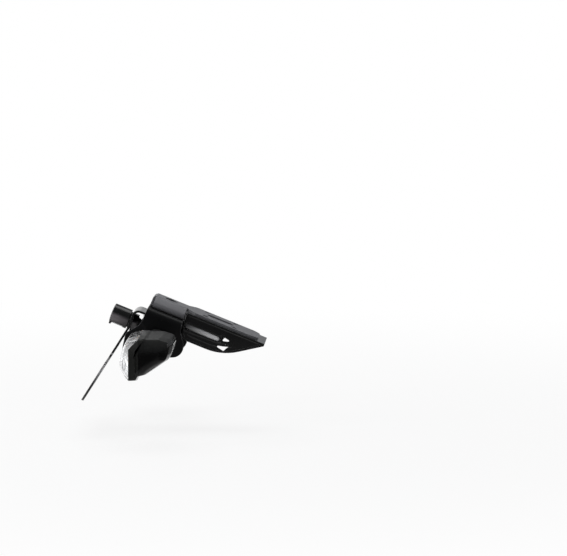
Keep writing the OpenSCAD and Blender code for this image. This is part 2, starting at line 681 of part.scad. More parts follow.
// The bulb's seat, with z towards the lens
bulb_seat_x = reflector_x - pod_wall - rim_proud - fit - reflector_wall;
module at_bulb() {
    translate([bulb_seat_x, pod_in + pod_l * 0.46, 3]) rotate([0, -90, 0]) children();
}
module indicator_bulb(side) {
    r = bulb_d / 2;
    waist = asin(bulb_neck / r);
    color([0.95, 0.6, 0.15, 0.8]) at_stalk(side) at_bulb() rotate_extrude($fn = 48)
        polygon(concat([[0, -6], [bulb_neck, -6]], [for (k = [0 : 12]) let (a = waist + (180 - waist) * k / 12)
            [r * sin(a), r * cos(waist) + fit - r * cos(a)]]));
}
// Bayonet holder behind the reflector, round the bulb's neck
module indicator_bulb_holder(side) {
    color([0.75, 0.73, 0.68]) at_stalk(side) at_bulb() translate([0, 0, -9]) difference() {
        cylinder(d = holder_d, h = 9, $fn = 48);
        translate([0, 0, 3 - fit]) cylinder(r = bulb_neck + fit / 2, h = 9, $fn = 48);
    }
}

// Rubber stalk from the cheek to the housing, with a round foot
module indicator_stalk(side) {
    color([0.06, 0.06, 0.06]) at_stalk(side) rotate([-90, 0, 0]) difference() {
        union() {
            cylinder(d = stalk_foot_d, h = 4, $fn = 60);
            hull() {
                translate([0, 0, 3.5]) cylinder(d = stalk_foot_d - 4, h = 0.5, $fn = 40);
                for (s = [-1, 1])
                    translate([s * (neck_w - neck_h) / 2, 0, stalk_l * 0.6])
                        cylinder(d = neck_h, h = 1, $fn = 32);
            }
            hull() for (z = [stalk_l * 0.6, stalk_l - 1], s = [-1, 1])
                translate([s * (neck_w - neck_h) / 2, 0, z]) cylinder(d = neck_h, h = 1, $fn = 32);
        }
        translate([0, 0, -eps]) cylinder(d = stud_d + fit, h = stalk_l + 2 * eps, $fn = 48);
    }
}
module indicator_stud(side) {
    start = -saddle_t - stud_washer_t - stud_nut_h - 2;
    color([0.6, 0.6, 0.62]) at_stalk(side) rotate([-90, 0, 0]) translate([0, 0, start])
        tube(stud_d, stud_bore, stalk_l + stud_reach - start);
}
module indicator_washer(side) {
    color([0.6, 0.6, 0.62]) at_stalk(side) rotate([-90, 0, 0]) translate([0, 0, -saddle_t - stud_washer_t])
        tube(stud_washer_d, stud_d + bolt_gap, stud_washer_t);
}
module indicator_nut(side) {
    color([0.6, 0.6, 0.62]) at_stalk(side) rotate([-90, 0, 0])
        translate([0, 0, -saddle_t - stud_washer_t - stud_nut_h]) difference() {
            hexagon(stud_nut_af, stud_nut_h);
            translate([0, 0, -eps]) cylinder(d = stud_d + thread_gap, h = stud_nut_h + 2 * eps, $fn = 48);
        }
}

mount_bracket();
saddle_bracket();
bracket_bolts();
bracket_nuts();
bracket_spacers();
wiring_grommet();
plate_hanger();
lamp_housing();
lamp_window();
lamp_board();
lamp_leds();
lamp_gasket();
lamp_nut();
lamp_gland();
under_tail_tray();
tray_insert_right();
tray_insert_left();
tray_screws();
indicator_housing(-1);  // indicator_housing_right
indicator_lens(-1);  // indicator_lens_right
indicator_reflector(-1);  // indicator_reflector_right
indicator_bulb(-1);  // indicator_bulb_right
indicator_bulb_holder(-1);  // indicator_bulb_holder_right
indicator_stalk(-1);  // indicator_stalk_right
indicator_stud(-1);  // indicator_stud_right
indicator_washer(-1);  // indicator_washer_right
indicator_nut(-1);  // indicator_nut_right
indicator_housing(1);  // indicator_housing_left
indicator_lens(1);  // indicator_lens_left
indicator_reflector(1);  // indicator_reflector_left
indicator_bulb(1);  // indicator_bulb_left
indicator_bulb_holder(1);  // indicator_bulb_holder_left
indicator_stalk(1);  // indicator_stalk_left
indicator_stud(1);  // indicator_stud_left
indicator_washer(1);  // indicator_washer_left
indicator_nut(1);  // indicator_nut_left
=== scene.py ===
import json
import math
import bmesh
import bpy
import numpy as np
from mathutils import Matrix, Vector


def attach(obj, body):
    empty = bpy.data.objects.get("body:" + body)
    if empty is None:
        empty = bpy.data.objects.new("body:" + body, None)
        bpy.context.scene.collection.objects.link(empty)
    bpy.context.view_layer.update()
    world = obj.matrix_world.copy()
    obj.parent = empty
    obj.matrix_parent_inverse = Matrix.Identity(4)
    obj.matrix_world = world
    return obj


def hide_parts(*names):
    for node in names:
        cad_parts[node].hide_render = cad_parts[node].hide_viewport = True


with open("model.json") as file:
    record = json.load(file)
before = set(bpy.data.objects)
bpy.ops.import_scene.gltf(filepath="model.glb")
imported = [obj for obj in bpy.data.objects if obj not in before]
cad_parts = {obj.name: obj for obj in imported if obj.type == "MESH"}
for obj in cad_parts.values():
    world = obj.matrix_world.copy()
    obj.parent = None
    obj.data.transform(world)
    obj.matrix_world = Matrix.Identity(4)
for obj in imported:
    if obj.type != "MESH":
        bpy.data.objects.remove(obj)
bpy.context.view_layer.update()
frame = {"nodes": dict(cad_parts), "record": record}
nodes = frame["nodes"]
mm = 0.001
# Metres within which two points are made one
touching = 1e-6


# The part's own frames, in degrees and millimetres
tail = {"tilt": 22.0, "saddleBack": 56.0, "riserHeight": 12.5, "lampDrop": 23.4}
tiltCos, tiltSin = math.cos(math.radians(tail["tilt"])), math.sin(math.radians(tail["tilt"]))


# Tilted coordinates in millimetres to the row's metres: a turn about Y
def fromTilted(points):
    p = np.asarray(points, float)
    x = p[..., 0] * tiltCos + p[..., 2] * tiltSin
    z = p[..., 2] * tiltCos - p[..., 0] * tiltSin
    return np.stack([x, p[..., 1], z], -1) * mm


# The saddle's frame is the tilted one moved back and down by the riser's height
def fromSaddle(points):
    return fromTilted(np.asarray(points, float) + [-tail["saddleBack"], 0, -tail["riserHeight"]])


# A shader socket that can be used in plain arithmetic
class Tap:
    def __init__(self, made, socket):
        self.made, self.socket = made, socket

    def math(self, operation, *others):
        return self.made.node("ShaderNodeMath", {"operation": operation}, [self, *others])

    def __add__(self, other):
        return self.math("ADD", other)

    def __radd__(self, other):
        return self.math("ADD", other)

    def __sub__(self, other):
        return self.math("SUBTRACT", other)

    def __rsub__(self, other):
        return self.made.node("ShaderNodeMath", {"operation": "SUBTRACT"}, [other, self])

    def __mul__(self, other):
        return self.math("MULTIPLY", other)

    def __rmul__(self, other):
        return self.math("MULTIPLY", other)

    def magnitude(self):
        return self.math("ABSOLUTE")

    # 0 at low, 1 at high, smooth between
    def between(self, low, high):
        return self.made.node("ShaderNodeMapRange", {"interpolation_type": "SMOOTHSTEP"},
                              [self, low, high, 0.0, 1.0])


# A node tree, and the nodes that the finishes, the floor and the backdrop share
class Nodes:
    def __init__(self, tree):
        self.tree = tree

    # Any node: its type, its settings, which are set first, and its inputs in order or by name
    def node(self, kind, settings=None, inputs=(), output=0):
        made = self.tree.nodes.new(kind)
        for key, value in (settings or {}).items():
            setattr(made, key, value)
        for key, value in inputs.items() if isinstance(inputs, dict) else enumerate(inputs):
            if isinstance(value, Tap):
                self.tree.links.new(value.socket, made.inputs[key])
            elif value is not None:
                made.inputs[key].default_value = value
        return Tap(self, made.outputs[output])

    def place(self):
        return self.node("ShaderNodeTexCoord", output="Object")

    def trueNormal(self):
        return self.node("ShaderNodeNewGeometry", output="True Normal")

    # The named parts of a vector, such as "XZ"
    def parts(self, vector, names):
        return [self.node("ShaderNodeSeparateXYZ", inputs=[vector], output=name) for name in names]

    # Whether the ray is seen by the camera, in gloss or through glass
    def rays(self):
        return [self.node("ShaderNodeLightPath", output=f"Is {kind} Ray")
                for kind in ("Camera", "Glossy", "Transmission")]

    def noise(self, scale, detail=3.0, rough=0.5, stretch=None):
        where = self.place()
        if stretch:
            where = self.node("ShaderNodeMapping", inputs={"Vector": where, "Scale": stretch})
        return self.node("ShaderNodeTexNoise",
                         inputs={"Vector": where, "Scale": scale, "Detail": detail, "Roughness": rough})

    def mix(self, share, low, high):
        return self.node("ShaderNodeMix", {"data_type": "RGBA"}, {0: share, 6: low, 7: high}, 2)

    # Ends the tree in two shaders, mixed by the share of the second
    def end(self, share, first, second):
        both = self.node("ShaderNodeMixShader", inputs=[share, first, second], output="Shader")
        out = next(n for n in self.tree.nodes if n.type in ("OUTPUT_MATERIAL", "OUTPUT_WORLD"))
        self.tree.links.new(both.socket, out.inputs["Surface"])


# One material: a Principled shader and the nodes that feed it
class Finish(Nodes):
    def __init__(self, name, **fixed):
        self.material = bpy.data.materials.new(name)
        self.material.use_nodes = True
        super().__init__(self.material.node_tree)
        self.shader = next(n for n in self.tree.nodes if n.type == "BSDF_PRINCIPLED")
        for key, value in fixed.items():
            self.shader.inputs[key.replace("_", " ")].default_value = value

    # What feeds a socket of the shader now
    def fed(self, key):
        return Tap(self, self.shader.inputs[key].links[0].from_socket)

    # 1 where the surface turns within the given distance, from a rounded normal against the true one
    def edges(self, width):
        soft = self.node("ShaderNodeBevel", {"samples": 6}, {"Radius": width})
        turned = self.node("ShaderNodeVectorMath", {"operation": "DOT_PRODUCT"},
                           [soft, self.trueNormal()], "Value")
        return turned.between(0.995, 0.86)

    def feed(self, **links):
        for key, tap in links.items():
            self.tree.links.new(tap.socket, self.shader.inputs[key.replace("_", " ")])

    def bump(self, height, strength, distance, radius=0.0):
        wanted = {"Strength": strength, "Distance": distance, "Height": height}
        if radius:
            wanted["Normal"] = self.node("ShaderNodeBevel", {"samples": 6}, {"Radius": radius})
        self.feed(Normal=self.node("ShaderNodeBump", inputs=wanted))


def grey(level, tint=0.0):
    return (level, level, level * (1 + tint), 1.0)


print("frame loaded:", len(nodes), "nodes")


# Satin powder coat: fine orange peel, and a painted highlight on the cut edges, broken up by noise
def powderCoat(name, level, rough, grain):
    made = Finish(name, Metallic=0.0, IOR=1.5, Specular_IOR_Level=grain["gloss"])
    peel = made.noise(grain["scale"], 4.0, 0.6)
    broad = made.noise(28.0, 3.0, 0.55)
    paintedEdgeLight = made.edges(grain["edge"]) * (made.noise(160.0, 4.0, 0.6).between(0.30, 0.62) * 0.55 + 0.25)
    coat = made.mix(broad, grey(level * 0.8, 0.04), grey(level * 1.25, 0.06))
    made.feed(Base_Color=made.mix(paintedEdgeLight, coat, grey(0.26, 0.03)))
    made.feed(Roughness=rough + (broad - 0.5) * 0.14 + (peel - 0.5) * 0.08)
    made.bump(peel, 0.35, grain["depth"], grain["round"])
    return made


# Gloss black plastic with faint swirls and a soft moulded edge
def glossMoulding(name, level, rough, settings):
    made = Finish(name, Metallic=0.0, IOR=1.52, Specular_IOR_Level=settings["gloss"], Coat_Roughness=0.04)
    haze = made.noise(45.0, 4.0, 0.6)
    fine = made.noise(900.0, 2.0, 0.5)
    scuffs = made.noise(140.0, 5.0, 0.7, (1.0, 9.0, 1.0)).between(0.56, 0.72)
    made.feed(Base_Color=made.mix(haze, grey(level * 0.75, 0.05), grey(level * 1.3, 0.08)))
    made.feed(Roughness=rough + haze * 0.06 + scuffs * 0.09, Coat_Weight=settings["coat"] + (haze - 0.5) * 0.1)
    made.bump(fine + haze * 3.0, 0.12, settings["depth"], settings["round"])
    return made


# Zinc plate: mottled, with fine machining lines
def platedSteel(name, level, rough, tint=0.03):
    made = Finish(name, IOR=1.8)
    blotch = made.noise(190.0, 4.0, 0.65)
    lines = made.noise(700.0, 2.0, 0.5, (1.0, 1.0, 6.0))
    made.feed(Base_Color=made.mix(blotch, grey(level * 0.78, tint), grey(level * 1.12, tint)))
    made.feed(Metallic=0.88 + blotch * 0.12, Roughness=rough + (blotch - 0.5) * 0.16 + (lines - 0.5) * 0.1)
    made.bump(lines, 0.25, 0.00004, 0.00018)
    return made


# Matt rubber with a talc bloom in patches
def mouldedRubber(name, level):
    made = Finish(name, Metallic=0.0, IOR=1.45, Specular_IOR_Level=0.25)
    bloom = made.noise(75.0, 5.0, 0.65).between(0.35, 0.75)
    pores = made.noise(1500.0, 2.0, 0.6)
    made.feed(Base_Color=made.mix(bloom, grey(level), grey(level * 1.9, 0.02)))
    made.feed(Roughness=0.62 + bloom * 0.16)
    made.bump(pores, 0.3, 0.00008, 0.0003)
    return made


# Lens colours: the clear tones, the painted shade on the roof, and the painted glow low down
lensShade = {"clear": ((0.95, 0.96, 0.97, 1.0), (0.99, 0.99, 0.99, 1.0)), "roof": (0.35, 0.75),
             "roofShadeGrey": grey(0.3, 0.01), "low": (-0.016, -0.004), "dim": grey(0.06), "glow": grey(0.9, 0.01)}


# Clear moulding with a faint flow in its roughness, and painted shade on its roof. Low down, where nothing dark
# stands behind it, a painted glow lightens it a little.
def clearLens(name):
    made = Finish(name, Metallic=0.0, IOR=1.25, Transmission_Weight=0.98, Emission_Strength=0.13)
    flow = made.noise(60.0, 3.0, 0.5)
    roof, = made.parts(made.trueNormal(), "Z")
    height, = made.parts(made.place(), "Z")
    paintedRoofShade = made.mix(roof.between(*lensShade["roof"]), made.mix(flow, *lensShade["clear"]), lensShade["roofShadeGrey"])
    glow = made.mix(1 - height.between(*lensShade["low"]), lensShade["dim"], lensShade["glow"])
    made.feed(Base_Color=paintedRoofShade, Roughness=0.015 + flow * 0.03, Emission_Color=glow)
    made.bump(flow, 0.05, 0.0002)
    return made


# Where the indicators' moulding is painted lighter: a painted reflection towards the top, and the rim
podShade = {"height": (-0.020, 0.002), "above": 0.55, "rim": (-0.0760, -0.0750), "onRim": 0.4,
            "grey": (0.047, 0.048, 0.045, 1.0), "roof": (0.6, 0.85), "rougher": 0.45}


# The indicators' moulding: its black is painted lighter towards the top, a painted reflection of the light
# above, and lighter still on the rim. The roof is left rougher by the mould, so it doesn't mirror the light
# above.
def podFinish(name, level, rough, settings):
    made = glossMoulding(name, level, rough, settings)
    x, z = made.parts(made.place(), "XZ")
    roof, = made.parts(made.trueNormal(), "Z")
    paintedSheenAndRim = z.between(*podShade["height"]) * podShade["above"]
    paintedSheenAndRim = paintedSheenAndRim + (1 - x.between(*podShade["rim"])) * podShade["onRim"]
    made.feed(Base_Color=made.mix(paintedSheenAndRim, made.fed("Base Color"), podShade["grey"]))
    made.feed(Roughness=made.fed("Roughness") + roof.between(*podShade["roof"]) * podShade["rougher"])
    return made


# Where the lamp's painted reflection lies across and along the barrel, and its colour
lampShade = {"into": (-0.0090, -0.0045), "out": (-0.0005, 0.0030), "end": (0.5, 0.8), "along": (-0.106, -0.090),
             "fade": 0.55, "grey": (0.165, 0.15, 0.158, 1.0)}


# The lamp's moulding: gloss black with a painted reflection, a grey band below the barrel's middle, most of all
# at the back, and not on the round end. Along is the barrel's own direction, and across is measured from its
# axis.
def lampFinish(name, level, rough, settings):
    made = glossMoulding(name, level, rough, settings)
    x, z = made.parts(made.place(), "XZ")
    across = x * tiltSin + z * tiltCos + (tail["riserHeight"] + tail["lampDrop"]) * mm
    along = x * tiltCos - z * tiltSin
    nx, nz = made.parts(made.trueNormal(), "XZ")
    barrel = 1 - (nx * tiltCos - nz * tiltSin).magnitude().between(*lampShade["end"])
    lampReflectionBand = across.between(*lampShade["into"]) * (1 - across.between(*lampShade["out"]))
    fade = 1 - along.between(*lampShade["along"]) * lampShade["fade"]
    made.feed(Base_Color=made.mix(lampReflectionBand * fade * barrel, made.fed("Base Color"), lampShade["grey"]))
    return made


# Where the panel edges' painted highlight lies, and its colour
hangerShade = {"side": (0.070, 0.074), "facing": (0.4, 0.6), "into": (-0.0610, -0.0400),
               "out": (-0.0385, -0.0375), "paintedEdgeLight": grey(0.42, 0.02)}


# The hanger's coat, with a painted highlight on the side edges of its panel, most of all just below the upper
# corners
def hangerFinish(name, level, rough, grain):
    made = powderCoat(name, level, rough, grain)
    y, z = made.parts(made.place(), "YZ")
    facing, = made.parts(made.trueNormal(), "Y")
    edge = y.magnitude().between(*hangerShade["side"]) * facing.magnitude().between(*hangerShade["facing"])
    stretch = z.between(*hangerShade["into"]) * (1 - z.between(*hangerShade["out"]))
    paintedEdgeLight = edge * stretch * (made.noise(500.0, 3.0, 0.6) * 0.4 + 0.6)
    made.feed(Base_Color=made.mix(paintedEdgeLight, made.fed("Base Color"), hangerShade["paintedEdgeLight"]))
    return made


# Vacuum metal on plastic: bright, with a slight orange peel
def metallised(name):
    made = Finish(name, IOR=1.6)
    peel = made.noise(420.0, 3.0, 0.5)
    made.feed(Base_Color=made.mix(peel, grey(0.72, 0.02), grey(0.9, 0.02)), Metallic=0.94 + peel * 0.06)
    made.feed(Roughness=0.10 + peel * 0.08)
    made.bump(peel, 0.2, 0.00006)
    return made


# Tinted glass whose amber is washed a little unevenly
def amberGlass(name):
    made = Finish(name, Metallic=0.0, IOR=1.5, Transmission_Weight=0.75)
    wash = made.noise(120.0, 3.0, 0.5)
    made.feed(Base_Color=made.mix(wash, (0.95, 0.36, 0.03, 1.0), (1.0, 0.52, 0.09, 1.0)))
    made.feed(Roughness=0.05 + wash * 0.05)
    return made


# Satin plastic of one colour with a fine grain
def satinPlastic(name, color, rough):
    made = Finish(name, Metallic=0.0, IOR=1.5)
    grain = made.noise(650.0, 3.0, 0.6)
    tone = made.noise(40.0, 3.0, 0.5)
    darker = tuple(c * 0.86 for c in color[:3]) + (1.0,)
    made.feed(Base_Color=made.mix(tone, darker, color), Roughness=rough + (grain - 0.5) * 0.18)
    made.bump(grain, 0.3, 0.00005, 0.0003)
    return made


# Satin plastic whose tone runs along X from dark to light, a painted reflection as a long polished bar shows it
def reflectionPaintedBar(name, dark, light, start, end):
    made = Finish(name, Metallic=0.0, IOR=1.5)
    grain = made.noise(420.0, 3.0, 0.6)
    x, = made.parts(made.place(), "X")
    share = (x + (grain - 0.5) * 0.004).between(start, end)
    made.feed(Base_Color=made.mix(share, grey(dark), grey(light)))
    made.feed(Roughness=0.16 + share * 0.2 + (grain - 0.5) * 0.06)
    made.bump(grain, 0.2, 0.00003)
    return made


finishes = {
    "bracket_black": powderCoat("bracketCoat", 0.0035, 0.38, {"scale": 620.0, "edge": 0.0009, "depth": 0.00005,
                                                              "round": 0.00035, "gloss": 0.16}),
    "bolt_steel": platedSteel("darkZinc", 0.20, 0.34),
    "nut_steel": platedSteel("brightZinc", 0.58, 0.27),
    "spacer_aluminium": platedSteel("turnedAluminium", 0.66, 0.30, 0.02),
    "rubber_black": mouldedRubber("rubber", 0.008),
    "lamp_black": lampFinish("lampBarrel", 0.0025, 0.22, {"depth": 0.00001, "round": 0.0006, "gloss": 0.35,
                                                          "coat": 0.1}),
    "moulding_black": podFinish("glossBlack", 0.0015, 0.09, {"depth": 0.00001, "round": 0.0005, "gloss": 0.18,
                                                             "coat": 0.06}),
    # The insert's bar carries a painted reflection, dark to light along X
    "insert_grey": reflectionPaintedBar("insertPaintedReflection", 0.02, 0.66, -0.040, -0.004),
    "lens_clear": clearLens("clearLens"),
    "reflector_silver": metallised("metallised"),
    "bulb_amber": amberGlass("amberGlass"),
    "board_green": satinPlastic("solderMask", (0.04, 0.20, 0.10, 1.0), 0.30),
    "led_yellow": satinPlastic("phosphor", (0.90, 0.80, 0.40, 1.0), 0.35),
}


# Finishes of single pieces that share their slot with others
special = {
    "lens_oval": satinPlastic("ovalBead", grey(0.22, 0.01), 0.3),
    "under_tail_tray": glossMoulding("trayGloss", 0.0015, 0.07, {"depth": 0.00001, "round": 0.0008,
                                                                 "gloss": 0.55, "coat": 0.2}),
    # The riser's black coat is painted mid-grey, a painted highlight of the light on its sides
    "mount_bracket": powderCoat("riserPaintedLight", 0.16, 0.34, {"scale": 620.0, "edge": 0.0004, "depth": 0.00004,
                                                          "round": 0.00035, "gloss": 0.4}),
    "plate_hanger": hangerFinish("hangerCoat", 0.004, 0.15, {"scale": 620.0, "edge": 0.0004, "depth": 0.00003,
                                                             "round": 0.0005, "gloss": 0.7}),
}
slots = {part["node"]: part["material_slot"] for part in frame["record"]["subparts"]}


def dress(piece, finish):
    piece.data.materials.clear()
    piece.data.materials.append(finish.material)


for name, node in nodes.items():
    dress(node, finishes[slots[name]])
print("finishes on", len(nodes), "nodes")


# One object for each piece: it rides on the part's body and stands for the CAD nodes it is named with
def placePiece(name, slot, mesh, standsFor=(), sharp=32.0):
    mesh.update()
    mesh.shade_smooth()
    mesh.set_sharp_from_angle(angle=math.radians(sharp))
    piece = bpy.data.objects.new(name, mesh)
    bpy.context.scene.collection.objects.link(piece)
    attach(piece, "root")
    if standsFor:
        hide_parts(*standsFor)
    dress(piece, finishes[slot])
    return piece


# Quads between neighbouring rows of a grid whose last column joins its first, and its last row too if closed
def gridFaces(rows, columns, closedRows=False):
    r, c = np.meshgrid(np.arange(rows if closedRows else rows - 1), np.arange(columns), indexing="ij")
    up, on = (r + 1) % rows, (c + 1) % columns
    quads = [r * columns + c, r * columns + on, up * columns + on, up * columns + c]
    return np.stack(quads, -1).reshape(-1, 4).tolist()


# Turns every face outwards, for a closed skin whose rows were made in either direction
def outward(mesh):
    work = bmesh.new()
    work.from_mesh(mesh)
    bmesh.ops.remove_doubles(work, verts=work.verts, dist=touching)
    bmesh.ops.recalc_face_normals(work, faces=work.faces)
    work.to_mesh(mesh)
    work.free()
    return mesh


# A closed skin through rings of points, closed at each end by a fan round the ring's middle
def closedLoft(name, rings):
    rings = np.asarray(rings, float)
    rows, columns = rings.shape[:2]
    verts = np.concatenate([rings.reshape(-1, 3), rings[:1].mean(1), rings[-1:].mean(1)])
    c, lastRow = np.arange(columns), (rows - 1) * columns
    rim = np.stack([c, (c + 1) % columns], -1)
    first = np.insert(rim, 2, rows * columns, axis=1)
    last = np.insert(rim + lastRow, 2, rows * columns + 1, axis=1)
    mesh = bpy.data.meshes.new(name)
    mesh.from_pydata(verts.tolist(), [], gridFaces(rows, columns) + first.tolist() + last.tolist())
    return outward(mesh)


soften = {"flat": 0.6, "turn": 28.0, "segments": 2, "sharp": 40.0, "weight": 80}


# The same solid as a CAD node with its edges rounded: a merged copy, flat faces joined, sharp edges bevelled
def softened(node, width):
    mesh = nodes[node].data.copy()
    mesh.name = node + "Soft"
    work = bmesh.new()
    work.from_mesh(mesh)
    bmesh.ops.remove_doubles(work, verts=work.verts, dist=touching)
    bmesh.ops.dissolve_limit(work, angle_limit=math.radians(soften["flat"]), verts=work.verts, edges=work.edges)
    turning = [e for e in work.edges
               if len(e.link_faces) == 2 and e.calc_face_angle(0.0) > math.radians(soften["turn"])]
    bmesh.ops.bevel(work, geom=turning, offset=width, offset_type="OFFSET", segments=soften["segments"],
                    profile=0.5, affect="EDGES", clamp_overlap=True)
    bmesh.ops.triangulate(work, faces=[f for f in work.faces if len(f.verts) > 4])
    work.to_mesh(mesh)
    work.free()
    mesh.materials.clear()
    piece = placePiece(mesh.name, slots[node], mesh, (node,), soften["sharp"])
    weight = piece.modifiers.new("weight", "WEIGHTED_NORMAL")
    weight.keep_sharp = True
    weight.weight = soften["weight"]
    return piece


# Sheets, the tray, the lamp and the fasteners keep the CAD shape, with the small radius that a press, a
# mould or a tumbler leaves, in metres
edgeRadius = {"mount_bracket": 0.00035, "saddle_bracket": 0.0004, "plate_hanger": 0.00035,
              "under_tail_tray": 0.0008, "lamp_housing": 0.0004, "lamp_nut": 0.0004, "bracket_nuts": 0.0003,
              "bracket_spacers": 0.0003, "bracket_bolts": 0.00025, "tray_screws": 0.00025}
for node, width in edgeRadius.items():
    soft = softened(node, width)
    if node in special:
        dress(soft, special[node])
print("softened", len(edgeRadius), "nodes")


# Indicators. Outlines lie in X and Z about the stalk's axis, in millimetres; y runs out along the stalk.
pod = {"rear": 19.5, "nose": 26.6, "top": 20.6, "foot": 26.2, "rimWidth": 7.8, "slant": 11.0, "bulge": 9.6,
       "length": 80.0, "inner": 53.0, "fullFrom": 14.0, "fullTo": 60.0, "inShare": 0.72, "outShare": 0.9,
       "cornerReach": 0.48}
stalk = {"root": (2.3, 32.0, -30.6), "length": 26.0, "foot": 27.0, "neckWidth": 24.0, "neckHeight": 15.0}
back, front, top, foot = -pod["rear"], pod["nose"], pod["top"], -pod["foot"]
seamLow, seamMid, seamTop = (back, foot), (back, top - pod["slant"]), (back + pod["slant"], top)


# Stalk coordinates to the row's metres: upright axes at the stalk's root, mirrored for the left side
def fromStalk(points, side):
    p = np.asarray(points, float)
    root = fromSaddle([stalk["root"][0], stalk["root"][1] * side, stalk["root"][2]])
    return root + np.stack([p[..., 0], p[..., 1] * side, p[..., 2]], -1) * mm


# A polyline with each corner rounded by an arc, then spread to an even number of points. An arc takes no more
# of its two sides than cornerReach says.
def roundedLine(points, radii, count, closed=True, arc=8):
    p = np.asarray(points, float)
    radii = np.broadcast_to(radii, len(p))
    out = []
    for k in range(len(p)):
        if radii[k] <= 0 or (not closed and k in (0, len(p) - 1)):
            out.append(p[k][None])
            continue
        a, b = p[k - 1] - p[k], p[(k + 1) % len(p)] - p[k]
        la, lb = np.linalg.norm(a), np.linalg.norm(b)
        a, b = a / la, b / lb
        half = math.acos(float(np.clip(a @ b, -1, 1))) / 2
        reach = min(radii[k] / math.tan(half), la * pod["cornerReach"], lb * pod["cornerReach"])
        r = reach * math.tan(half)
        start, end = p[k] + a * reach, p[k] + b * reach
        heart = p[k] + (a + b) / np.linalg.norm(a + b) * r / math.sin(half)
        ray = start - heart + (end - start) * np.linspace(0, 1, arc)[:, None]
        out.append(heart + ray / np.linalg.norm(ray, axis=1)[:, None] * r)
    line = np.concatenate(out)
    if closed:
        line = np.concatenate([line, line[:1]])
    run = np.concatenate([[0], np.cumsum(np.linalg.norm(np.diff(line, axis=0), axis=1))])
    at = np.linspace(0, run[-1], count + 1 if closed else count)
    even = np.stack([np.interp(at, run, line[:, i]) for i in (0, 1)], -1)
    return even[:-1] if closed else even


# How much of its full size the outline keeps at y along the body: less towards both ends
def podShare(y):
    near = 1 - (1 - pod["inShare"]) * np.clip((pod["fullFrom"] - y) / pod["fullFrom"], 0, 1)
    far = 1 - (1 - pod["outShare"]) * np.clip((y - pod["fullTo"]) / (pod["length"] - pod["fullTo"]), 0, 1)
    return near * far


# An outline at its size at y, where it shrinks towards the seam
def shrunk(line, y):
    share = podShare(y)
    return np.stack([(line[:, 0] - back) * share + back, line[:, 1] * share], -1)


# An outline laid out at y, with its two coordinates along X and Z
def laidOut(line, y):
    return np.stack([line[:, 0], np.broadcast_to(y, len(line)), line[:, 1]], -1)


# A path set inwards by a wall: each point moves along the normal of the path there
def insetPath(path, wall, side):
    way = np.gradient(path, axis=0)
    way /= np.linalg.norm(way, axis=1, keepdims=True)
    return path + np.stack([-way[:, 1], way[:, 0]], -1) * wall * side


# The two shells of an indicator: the body in front of the seam and the lens behind it
shells = {
    "indicatorBody": {
        "node": "indicator_housing", "slot": "moulding_black", "inwards": 1, "wall": 2.4, "count": 110,
        "crown": 7.0, "proud": 0.8, "room": 7.4, "domeRings": 22, "rows": 26, "facet": 2.6,
        "flute": (6.0, 0.0),
        "outline": [seamLow, (back + pod["rimWidth"], foot + 0.4), (back + 9.4, foot + 4.6),
                    (back + 16.8, foot + 6.4), (front - 16.4, foot * 0.42), (front - 5.8, -3.8),
                    (front - 2.8, 3.2), (front - 0.8, top - 8.5), (front - 3.0, top - 4.2),
                    (front - 13.0, top - 0.8), (seamTop[0] + 8.0, top - 0.8), (seamTop[0] + 6.4, top), seamTop],
        "radii": [0, 0.8, 1.6, 9, 6, 7, 5, 4, 5, 9, 0.5, 0.5, 0]},
    "indicatorLens": {
        "node": "indicator_lens", "slot": "lens_clear", "inwards": -1, "wall": 2.0, "count": 56,
        "crown": 3.0, "proud": 0.5, "room": 4.5, "domeRings": 14, "rows": 211, "facet": 0.0,
        "flute": (6.0, 0.55),
        "outline": [seamLow, (back - pod["bulge"] * 0.46, foot + 5.0), (back - pod["bulge"], foot + 15.5),
                    (back - pod["bulge"], foot + 23.0), (back - pod["bulge"] * 0.72, seamMid[1] - 2.0),
                    (back - pod["bulge"] * 0.2, seamMid[1] + pod["slant"] * 0.72), seamTop],
        "radii": [0, 9, 14, 12, 12, 6, 0]},
}


dome = {"first": 0.03, "reach": 0.955, "power": 3.4, "facetAt": 6.0, "facetWidth": 11.0, "facetFrom": 0.72}


